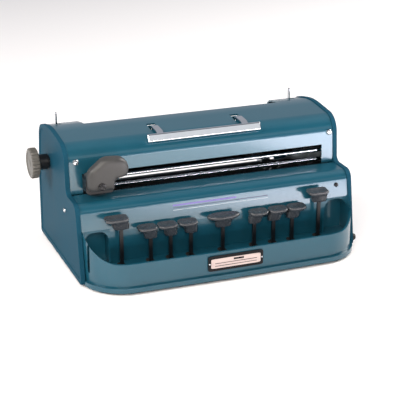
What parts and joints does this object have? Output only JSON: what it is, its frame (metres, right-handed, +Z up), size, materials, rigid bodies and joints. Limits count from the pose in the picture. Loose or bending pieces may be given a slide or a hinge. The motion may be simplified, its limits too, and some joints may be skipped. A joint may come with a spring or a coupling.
{
  "type": "mechanical braille writer",
  "caption": "Manual braille writer: embossing typewriter with braille keys, sliding embossing head, feed knobs, paper levers and a folding carry handle.",
  "frame": {"origin": "on the floor under the middle of the machine's box", "axes": "+X to the typist's right, +Y to the rear, +Z up"},
  "size_m": [0.391, 0.2272, 0.162],
  "materials": {
    "case_enamel": "gloss stoved enamel",
    "chrome_handle": "polished plate",
    "chrome_rail": "polished plate",
    "bright_steel": "plated",
    "plated_steel": "zinc plated",
    "spring_steel": "drawn wire",
    "black_steel": "black finish",
    "key_plastic": "moulded",
    "lever_plastic": "moulded",
    "knob_plastic": "moulded, ribbed",
    "black_rubber": "moulded",
    "roller_rubber": "ground",
    "plate_aluminium": "printed and anodised, blank",
    "bell_brass": "turned"
  },
  "bodies": {
    "casing": {"left_side_panel": "case_enamel", "right_side_panel": "case_enamel", "top_cover": "case_enamel", "rear_cover": "case_enamel", "keyboard_housing": "case_enamel", "base_plate": "case_enamel", "rubber_feet": "black_rubber", "cover_screws": "bright_steel", "deck_screw": "black_steel", "side_bumper": "black_rubber", "name_plate": "plate_aluminium", "left_frame_plate": "plated_steel", "right_frame_plate": "plated_steel", "upper_rail": "chrome_rail", "lower_rail": "chrome_rail", "key_pivot_shaft": "plated_steel", "escapement_rack": "plated_steel", "key_guide_comb": "plated_steel", "tie_plate": "plated_steel", "margin_bell": "bell_brass", "margin_rail": "plated_steel", "paper_guide": "plated_steel", "key_return_springs": "spring_steel", "handle_brackets": "plated_steel"},
    "feed_roller": {"roller_shaft": "plated_steel", "feed_roller": "roller_rubber", "line_ratchet_wheel": "plated_steel", "left_feed_knob": "knob_plastic", "right_feed_knob": "knob_plastic"},
    "pressure_roller": {"pressure_roller": "plated_steel"},
    "left_paper_lever": {"left_paper_lever": "bright_steel"},
    "right_paper_lever": {"right_paper_lever": "bright_steel"},
    "handle": {"handle_bar": "chrome_handle", "handle_arms": "chrome_handle"},
    "carriage": {"carriage_slide": "plated_steel", "embossing_head": "plated_steel", "carriage_block": "lever_plastic", "lever_pivot_screw": "black_steel"},
    "head_lever": {"head_lever": "lever_plastic"},
    "left_margin_stop": {"left_margin_stop": "plated_steel"},
    "right_margin_stop": {"right_margin_stop": "plated_steel"},
    "carriage_spring_drum": {"carriage_spring_drum": "plated_steel"},
    "line_space_key": {"line_space_key_lever": "black_steel", "line_space_key_cap": "key_plastic"},
    "dot_3_key": {"dot_3_key_lever": "black_steel", "dot_3_key_cap": "key_plastic"},
    "dot_2_key": {"dot_2_key_lever": "black_steel", "dot_2_key_cap": "key_plastic"},
    "dot_1_key": {"dot_1_key_lever": "black_steel", "dot_1_key_cap": "key_plastic"},
    "spacer_key": {"spacer_key_lever": "black_steel", "spacer_key_cap": "key_plastic"},
    "dot_4_key": {"dot_4_key_lever": "black_steel", "dot_4_key_cap": "key_plastic"},
    "dot_5_key": {"dot_5_key_lever": "black_steel", "dot_5_key_cap": "key_plastic"},
    "dot_6_key": {"dot_6_key_lever": "black_steel", "dot_6_key_cap": "key_plastic"},
    "backspace_key": {"backspace_key_lever": "black_steel", "backspace_key_cap": "key_plastic"}
  },
  "joints": [
    {"name": "carriage_travel", "type": "slide", "parent": "casing", "child": "carriage", "axis": [1, 0, 0], "range_m": [0, 0.262]},
    {"name": "head_lever_press", "type": "hinge", "parent": "carriage", "child": "head_lever", "pos_m": [-0.138, -0.044, 0.11], "axis": [0, 1, 0], "range_deg": [0, 12], "stiffness_Nm_per_rad": 0.3, "springref_deg": -2.86},
    {"name": "feed_roller_turn", "type": "hinge", "parent": "casing", "child": "feed_roller", "pos_m": [0, 0.057, 0.111], "axis": [1, 0, 0], "continuous": true},
    {"name": "pressure_roller_turn", "type": "hinge", "parent": "casing", "child": "pressure_roller", "pos_m": [0, 0.057, 0.0905], "axis": [1, 0, 0], "continuous": true},
    {"name": "left_paper_release", "type": "hinge", "parent": "casing", "child": "left_paper_lever", "pos_m": [-0.154, 0.084, 0.125], "axis": [1, 0, 0], "range_deg": [0, 25]},
    {"name": "right_paper_release", "type": "hinge", "parent": "casing", "child": "right_paper_lever", "pos_m": [0.154, 0.084, 0.125], "axis": [1, 0, 0], "range_deg": [0, 25]},
    {"name": "handle_swing", "type": "hinge", "parent": "casing", "child": "handle", "pos_m": [0, 0.013, 0.145], "axis": [-1, 0, 0], "range_deg": [0, 95]},
    {"name": "left_margin_slide", "type": "slide", "parent": "casing", "child": "left_margin_stop", "axis": [1, 0, 0], "range_m": [0, 0.1]},
    {"name": "right_margin_slide", "type": "slide", "parent": "casing", "child": "right_margin_stop", "axis": [1, 0, 0], "range_m": [-0.1, 0]},
    {"name": "spring_drum_turn", "type": "hinge", "parent": "casing", "child": "carriage_spring_drum", "pos_m": [0.125, 0.023, 0.062], "axis": [0, 1, 0], "range_deg": [0, 610]},
    {"name": "line_space_press", "type": "hinge", "parent": "casing", "child": "line_space_key", "pos_m": [0, 0.06, 0.0145], "axis": [1, 0, 0], "range_deg": [0, 2.5], "stiffness_Nm_per_rad": 2, "springref_deg": -3.44, "deforming": ["key_return_springs"]},
    {"name": "dot_3_press", "type": "hinge", "parent": "casing", "child": "dot_3_key", "pos_m": [0, 0.06, 0.0145], "axis": [1, 0, 0], "range_deg": [0, 2.5], "stiffness_Nm_per_rad": 2, "springref_deg": -3.44, "deforming": ["key_return_springs"]},
    {"name": "dot_2_press", "type": "hinge", "parent": "casing", "child": "dot_2_key", "pos_m": [0, 0.06, 0.0145], "axis": [1, 0, 0], "range_deg": [0, 2.5], "stiffness_Nm_per_rad": 2, "springref_deg": -3.44, "deforming": ["key_return_springs"]},
    {"name": "dot_1_press", "type": "hinge", "parent": "casing", "child": "dot_1_key", "pos_m": [0, 0.06, 0.0145], "axis": [1, 0, 0], "range_deg": [0, 2.5], "stiffness_Nm_per_rad": 2, "springref_deg": -3.44, "deforming": ["key_return_springs"]},
    {"name": "spacer_press", "type": "hinge", "parent": "casing", "child": "spacer_key", "pos_m": [0, 0.06, 0.0145], "axis": [1, 0, 0], "range_deg": [0, 2.5], "stiffness_Nm_per_rad": 2, "springref_deg": -3.44, "deforming": ["key_return_springs"]},
    {"name": "dot_4_press", "type": "hinge", "parent": "casing", "child": "dot_4_key", "pos_m": [0, 0.06, 0.0145], "axis": [1, 0, 0], "range_deg": [0, 2.5], "stiffness_Nm_per_rad": 2, "springref_deg": -3.44, "deforming": ["key_return_springs"]},
    {"name": "dot_5_press", "type": "hinge", "parent": "casing", "child": "dot_5_key", "pos_m": [0, 0.06, 0.0145], "axis": [1, 0, 0], "range_deg": [0, 2.5], "stiffness_Nm_per_rad": 2, "springref_deg": -3.44, "deforming": ["key_return_springs"]},
    {"name": "dot_6_press", "type": "hinge", "parent": "casing", "child": "dot_6_key", "pos_m": [0, 0.06, 0.0145], "axis": [1, 0, 0], "range_deg": [0, 2.5], "stiffness_Nm_per_rad": 2, "springref_deg": -3.44, "deforming": ["key_return_springs"]},
    {"name": "backspace_press", "type": "hinge", "parent": "casing", "child": "backspace_key", "pos_m": [0, 0.06, 0.0145], "axis": [1, 0, 0], "range_deg": [0, 2.5], "stiffness_Nm_per_rad": 2, "springref_deg": -3.44, "deforming": ["key_return_springs"]}
  ],
  "couplings": [
    {"joint": "pressure_roller_turn", "follows": "feed_roller_turn", "ratio": -1.5},
    {"joint": "spring_drum_turn", "follows": "carriage_travel", "rad_per_m": 40}
  ]
}
